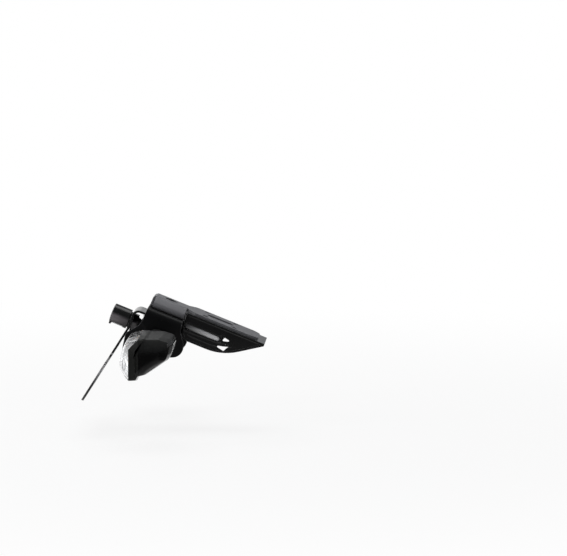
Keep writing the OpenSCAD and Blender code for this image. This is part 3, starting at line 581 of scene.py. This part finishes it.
# A shell through one outline and the seam's straight lines. Between its ends it is hollow, and its inner skin
# is fluted, depth * |sin(pi * (y - room) / pitch)|. Both ends are domes of height
# crown * (1 - sqrt(1 - (reach * s)^power)), with s from 0 in the middle to 1 at the rim. Along the lower front
# edge the dome falls back faster, by facet * exp(-((x - at) / width)^2), grown from s = facetFrom to 1.
def podShell(name, side, word, make):
    outer = roundedLine(make["outline"], make["radii"], make["count"], closed=False)
    seam = roundedLine([seamTop, seamMid, seamLow], 0, make["count"], closed=False)
    full = np.concatenate([outer, seam])
    bell = np.exp(-((full[:, 0] - dome["facetAt"]) / dome["facetWidth"]) ** 2)
    lower = make["facet"] * bell * (full[:, 1] < 0)
    length, room = pod["length"], make["room"]
    pitch, depth = make["flute"]

    def domeRing(scale, end, way):
        height = make["proud"] + make["crown"] * (1 - math.sqrt(1 - (dome["reach"] * scale) ** dome["power"]))
        at = shrunk(full, end + height * way)
        heart = 0.5 * (at.min(0) + at.max(0))
        fall = lower * max((scale - dome["facetFrom"]) / (1 - dome["facetFrom"]), 0) * way
        return laidOut(heart + (at - heart) * scale, pod["inner"] + end + height * way + fall)

    def hollowRing(y):
        wall = make["wall"] + depth * abs(math.sin(math.pi * (y - room) / pitch))
        inner = insetPath(outer, wall, make["inwards"])
        return laidOut(shrunk(np.concatenate([outer, inner[::-1]]), y), pod["inner"] + y)

    scales = np.sin(np.linspace(dome["first"], math.pi / 2, make["domeRings"]))
    rings = [domeRing(scale, 0.0, 1) for scale in scales]
    rings.append(laidOut(shrunk(full, room), pod["inner"] + room))
    rings += [hollowRing(y) for y in np.linspace(room, length - room, make["rows"])]
    rings.append(laidOut(shrunk(full, length - room), pod["inner"] + length - room))
    rings += [domeRing(scale, length, -1) for scale in scales[::-1]]
    placePiece(name, make["slot"], closedLoft(name, fromStalk(rings, side)), (f"{make['node']}_{word}",))


# The rim at each end of a housing: a slab in the seam's outline that stands a little proud of the domed body,
# its outer edge rounded in steps of how far a ring stands back and how far it is set in
rim = {"outline": [seamLow, (back + pod["rimWidth"], foot + 0.4), (back + pod["rimWidth"], seamMid[1] - 1.2),
                   (seamTop[0] + 6.4, top), seamTop, seamMid],
       "radii": [0.8, 0.8, 5, 0.8, 0.8, 2], "count": 120, "depth": 7.5,
       "steps": ((0.6, 0.0), (0.18, 0.15), (0.0, 0.6), (0.0, 2.4))}


def rimSlab(name, side, near, far):
    line = roundedLine(rim["outline"], rim["radii"], rim["count"])
    heart = line.mean(0)
    reach = np.linalg.norm(line - heart, axis=1, keepdims=True)
    rings = []
    for y, inset in ((near, 0.0), *((far - standing, inset) for standing, inset in rim["steps"])):
        at = heart + (line - heart) * np.maximum(reach - inset, 0.1) / reach
        rings.append(laidOut(shrunk(at, far), pod["inner"] + y))
    placePiece(name, "moulding_black", closedLoft(name, fromStalk(rings, side)), sharp=50.0)


# A slot's outline with its ends rounded, x = r * cos(u) + run * tanh(4 * cos(u)): the section of stalk and neck
def slotRing(y, width, height, count=72):
    u = np.linspace(0, 2 * math.pi, count, endpoint=False)
    run, r = width / 2 - height / 2, height / 2
    return laidOut(np.stack([np.cos(u) * r + np.tanh(np.cos(u) * 4) * run, np.sin(u) * r], -1), y)


# A rounded lip that fades out over its reach: 1 at the edge, then (1 - distance / reach)^2
def lipShare(distance, reach):
    return (1 - min(distance, reach) / reach) ** 2


ribs = {"height": 0.9, "pitch": 3.0, "first": 11.2, "from": 9.7, "to": 23.2, "rows": 96, "narrowFrom": 3.6,
        "narrowOver": 5.2, "slack": 1.2, "footLip": (0.7, 0.7), "endLip": (0.5, 0.5)}


# Rubber stalk: a round foot that narrows to the slot's section, with ribs along it,
# height * cos^4(pi * (y - first) / pitch)
def makeStalk(name, side, word):
    rings = []
    for y in np.linspace(0.0, stalk["length"], ribs["rows"]):
        narrow = min(max((y - ribs["narrowFrom"]) / ribs["narrowOver"], 0.0), 1.0)
        narrow = narrow * narrow * (3 - 2 * narrow)
        width = stalk["foot"] + (stalk["neckWidth"] - stalk["foot"]) * narrow
        height = stalk["foot"] + (stalk["neckHeight"] - stalk["foot"]) * narrow
        ribbed = ribs["from"] < y < ribs["to"]
        rib = ribs["height"] * math.cos(math.pi * (y - ribs["first"]) / ribs["pitch"]) ** 4 if ribbed else 0.0
        lip = ribs["footLip"][0] * lipShare(y, ribs["footLip"][1])
        lip += ribs["endLip"][0] * lipShare(stalk["length"] - y, ribs["endLip"][1])
        grown = 2 * rib - 2 * lip - ribs["slack"] * narrow
        rings.append(slotRing(y, width + grown, height + grown))
    mesh = closedLoft(name, fromStalk(rings, side))
    placePiece(name, "rubber_black", mesh, (f"indicator_stalk_{word}",), sharp=60.0)


neck = {"into": 9.0, "rows": 60, "swell": 4.4, "power": 2.2, "flare": 5.0, "flareFrom": 0.72, "lip": (0.6, 0.6),
        "groove": 0.35, "grooveAt": 3.0, "grooveWidth": 0.35}


# Neck: the slot's section, widening towards the body by swell * t^power + flare * (t - flareFrom)^2 with t
# from 0 to 1 along it, and a groove near the rubber
def makeNeck(name, side):
    rings = []
    run = pod["inner"] + neck["into"] - stalk["length"]
    for y in np.linspace(0.0, run, neck["rows"]):
        t = y / run
        wide = neck["swell"] * t ** neck["power"] + neck["flare"] * max(t - neck["flareFrom"], 0) ** 2
        lip = neck["lip"][0] * lipShare(y, neck["lip"][1])
        groove = neck["groove"] * math.exp(-((y - neck["grooveAt"]) / neck["grooveWidth"]) ** 2)
        grown = wide - 2 * lip - 2 * groove
        rings.append(slotRing(stalk["length"] + y, stalk["neckWidth"] + grown, stalk["neckHeight"] + grown))
    placePiece(name, "moulding_black", closedLoft(name, fromStalk(rings, side)), sharp=60.0)


oval = {"half": (1.5, 6.0), "bead": 0.34, "height": -7.6, "sunk": 1.35, "around": 64, "across": 10}


# A small raised oval on the lens end: a round bead along an ellipse of half axes a and b,
# x = (a + bead * cos(v)) * cos(u), y = bead * sin(v), z = (b + bead * cos(v)) * sin(u)
def lensOval(name, side):
    u = np.linspace(0, 2 * math.pi, oval["around"], endpoint=False)[:, None]
    v = np.linspace(0, 2 * math.pi, oval["across"], endpoint=False)[None, :]
    share = podShare(pod["length"])
    x = back - pod["bulge"] * 0.5 * share + (oval["half"][0] + oval["bead"] * np.cos(v)) * np.cos(u)
    z = oval["height"] * share + (oval["half"][1] + oval["bead"] * np.cos(v)) * np.sin(u)
    y = pod["inner"] + pod["length"] - oval["sunk"] + oval["bead"] * np.sin(v) + 0 * u
    verts = fromStalk(np.stack([x, y, z], -1), side)
    mesh = bpy.data.meshes.new(name)
    faces = gridFaces(oval["around"], oval["across"], closedRows=True)
    mesh.from_pydata(verts.reshape(-1, 3).tolist(), [], faces)
    dress(placePiece(name, "lens_clear", outward(mesh)), special["lens_oval"])


for side, word in ((-1, "right"), (1, "left")):
    for shell, make in shells.items():
        podShell(shell + word.title(), side, word, make)
    rimSlab(f"indicatorRimOuter{word.title()}", side, pod["length"] - rim["depth"], pod["length"])
    rimSlab(f"indicatorRimInner{word.title()}", side, rim["depth"], 0.0)
    makeNeck(f"indicatorNeck{word.title()}", side)
    makeStalk(f"rubberStalk{word.title()}", side, word)
    lensOval(f"lensOval{word.title()}", side)
print("indicators")


# The tray's bar lies on the skirt, turned by its lean about Y; its place is that of its middle
tray = {"place": (-13.1, -16.1), "lean": 1.5, "length": 39.6, "height": 5.2, "skin": 24.5, "rise": 1.26,
        "foot": 1.9, "sunk": -0.6, "around": 96, "rings": 14, "closing": 0.985}


# A slot's outline, x = r * cos(u) + run * clip(6 * cos(u)), drawn in by cos(a) while its height over the skirt
# grows as foot + rise * sin(a)
def trayBar(name, side, node):
    u = np.linspace(0, 2 * math.pi, tray["around"], endpoint=False)
    run, r = tray["length"] / 2 - tray["height"] / 2, tray["height"] / 2
    outline = np.stack([np.cos(u) * r + np.clip(np.cos(u) * 6, -1, 1) * run, np.sin(u) * r], -1)
    rings = [laidOut(outline, tray["sunk"])]
    for a in np.linspace(0, math.pi / 2, tray["rings"]):
        scale = math.cos(a * tray["closing"])
        drawnIn = outline * [1 - (1 - scale) * tray["height"] / tray["length"], scale]
        rings.append(laidOut(drawnIn, tray["foot"] + tray["rise"] * math.sin(a)))
    along, out, up = np.moveaxis(np.array(rings), -1, 0)
    turn = math.radians(tray["lean"])
    x = along * math.cos(turn) + up * math.sin(turn) + tray["place"][0]
    z = up * math.cos(turn) - along * math.sin(turn) + tray["place"][1]
    mesh = closedLoft(name, fromTilted(np.stack([x, (tray["skin"] + out) * side, z], -1)))
    placePiece(name, "insert_grey", mesh, (node,), sharp=50.0)


trayBar("trayBarRight", -1, "tray_insert_right")
trayBar("trayBarLeft", 1, "tray_insert_left")
print("tray bars")


# Floor and backdrop
stageSize = {"floor": -0.115, "halfWidth": 6.0, "level": 0.86, "speck": 0.03, "shade": 0.14,
             "whiteFrom": (0.15, 1.2), "dark": (-0.85, 0.2), "darkShare": 0.94, "right": (0.02, 0.08),
             "rightShare": 0.92}


# Seen by the camera, in gloss and through glass the floor goes over to white away from the part. Gloss sees it
# dark in front of the part and to its right.
def plainFloor():
    made = Finish("floorPaint", Roughness=0.9)
    speck = made.noise(3.0, 2.0, 0.5)
    paint = made.mix(speck, grey(stageSize["level"]), grey(stageSize["level"] + stageSize["speck"]))
    where = made.place()
    away = made.node("ShaderNodeVectorMath", {"operation": "LENGTH"}, [where], "Value")
    camera, glossy, through = made.rays()
    x, y = made.parts(where, "XY")
    near = y.between(*stageSize["dark"]) * stageSize["darkShare"] + (1 - stageSize["darkShare"])
    near = near * (1 - x.between(*stageSize["right"]) * stageSize["rightShare"])
    made.feed(Base_Color=made.mix(1 - glossy * (1 - near), grey(0.0), paint))
    seen = camera.math("MAXIMUM", through).math("MAXIMUM", glossy * near)
    glow = made.node("ShaderNodeEmission", inputs={"Color": grey(1.0), "Strength": 1.0}, output="Emission")
    white = away.between(*stageSize["whiteFrom"]) * stageSize["shade"] + (1 - stageSize["shade"])
    made.end(seen * white, Tap(made, made.shader.outputs["BSDF"]), glow)
    return made


half, level = stageSize["halfWidth"], stageSize["floor"]
corners = [(-half, -half, level), (half, -half, level), (half, half, level), (-half, half, level)]
floorMesh = bpy.data.meshes.new("floor")
floorMesh.from_pydata(corners, [], [(0, 1, 2, 3)])
floor = bpy.data.objects.new("floor", floorMesh)
bpy.context.scene.collection.objects.link(floor)
dress(floor, plainFloor())

world = bpy.data.worlds.new("studio")
world.use_nodes = True
bpy.context.scene.world = world
sky = {"height": (0.06, 0.34), "ahead": (-0.02, 0.07), "left": (-0.3, 0.4), "inGloss": 0.9,
       "tint": (0.93, 0.95, 1.0, 1.0), "strength": 0.22}


# The backdrop is white to the camera and through glass. Gloss sees it white low down, behind the part and to
# its left, and dim elsewhere. All other rays see it dim.
def backdrop():
    made = Nodes(world.node_tree)
    camera, glossy, through = made.rays()
    x, y, z = made.parts(made.node("ShaderNodeTexCoord", output="Generated"), "XYZ")
    low = (1 - z.between(*sky["height"])) * (1 - x.between(*sky["ahead"])) * y.between(*sky["left"])
    dim = made.node("ShaderNodeBackground", inputs={"Color": sky["tint"], "Strength": sky["strength"]})
    white = made.node("ShaderNodeBackground", inputs={"Color": grey(1.0), "Strength": 1.0})
    seen = camera.math("MAXIMUM", through).math("MAXIMUM", glossy * (low * sky["inGloss"]))
    made.end(seen, dim, white)


backdrop()


# Rectangular lights, turned to face the part: place and size in metres, power in watts
lights = {
    "overhead": {"place": (-0.1, 0.2, 1.4), "size": (1.4, 0.9), "power": 11.0},
    "leftBox": {"place": (-1.3, -0.7, 0.6), "size": (0.4, 1.0), "power": 7.0},
    "rightBox": {"place": (1.2, -0.9, 0.35), "size": (0.09, 0.7), "power": 1.4},
    "behind": {"place": (-0.5, 1.3, 1.1), "size": (0.8, 0.4), "power": 3.0},
}
lit = Vector((-0.06, -0.03, -0.02))
for name, light in lights.items():
    lamp = bpy.data.lights.new(name, "AREA")
    lamp.shape, lamp.energy = "RECTANGLE", light["power"]
    lamp.size, lamp.size_y = light["size"]
    holder = bpy.data.objects.new(name, lamp)
    bpy.context.scene.collection.objects.link(holder)
    holder.location = light["place"]
    holder.rotation_mode = "QUATERNION"
    holder.rotation_quaternion = (lit - Vector(light["place"])).to_track_quat("-Z", "Y")

# The photograph's direction in degrees, its scale in millimetres a pixel, and the pixel at which it shows a
# point of the part, the anchor, given in tilted millimetres
shot = {"azimuth": 4.0, "elevation": 6.6, "distance": 4.2, "scale": 1.05, "width": 567, "height": 556,
        "pixel": (165.05, 314.15), "anchor": (-56.0, -32.0, -12.5), "sensor": 36.0}


def makeCamera():
    a, e = math.radians(shot["azimuth"]), math.radians(shot["elevation"])
    look = Vector((-math.sin(a) * math.cos(e), math.cos(a) * math.cos(e), -math.sin(e)))
    right = Vector((math.cos(a), math.sin(a), 0.0))
    up = right.cross(look)
    anchor = Vector(fromTilted(shot["anchor"]))
    dx = (shot["width"] / 2 - shot["pixel"][0]) * shot["scale"] * mm
    dy = (shot["pixel"][1] - shot["height"] / 2) * shot["scale"] * mm
    place = anchor - look * shot["distance"]
    aim = anchor + right * dx + up * dy
    camera = bpy.data.objects.new("camera", bpy.data.cameras.new("camera"))
    bpy.context.scene.collection.objects.link(camera)
    bpy.context.scene.camera = camera
    camera.data.sensor_width = shot["sensor"]
    camera.data.lens = shot["sensor"] * shot["distance"] / (shot["width"] * shot["scale"] * mm)
    camera.data.clip_start, camera.data.clip_end = 0.05, 40.0
    camera.location = place
    camera.rotation_mode = "QUATERNION"
    camera.rotation_quaternion = (aim - place).to_track_quat("-Z", "Y")


makeCamera()
bpy.context.scene.view_settings.view_transform = "Standard"
print("stage, light and camera")
